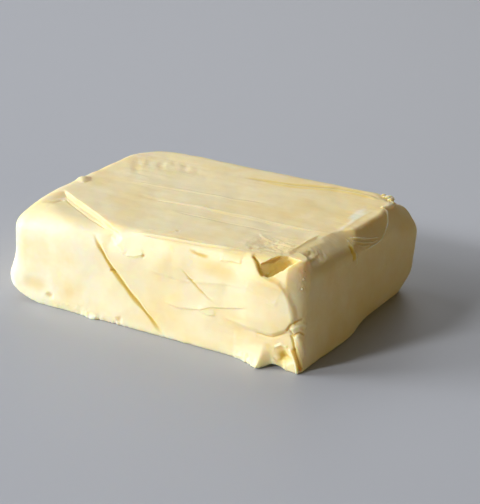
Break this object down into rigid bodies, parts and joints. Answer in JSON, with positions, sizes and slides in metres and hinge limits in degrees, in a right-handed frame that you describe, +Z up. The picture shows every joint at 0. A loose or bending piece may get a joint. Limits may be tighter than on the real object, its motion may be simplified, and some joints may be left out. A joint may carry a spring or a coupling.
{
  "type": "block of margarine",
  "caption": "Knife-cut rectangular block of pale yellow margarine with slipped corner, chipped and smeared edges and a splayed foot, resting flat",
  "frame": {"origin": "middle of the box around the block, at the height of its flat underside, which stands on the plate or board", "axes": "+X along the long side towards the chipped near corner, -Y out of the broad cut front, +Z up"},
  "size_m": [0.1143, 0.0832, 0.0333],
  "materials": {
    "margarine": "soft satin fat, slightly translucent, drawn and smeared by the knife"
  },
  "bodies": {
    "root": {"margarine_block": "margarine"}
  },
  "joints": []
}
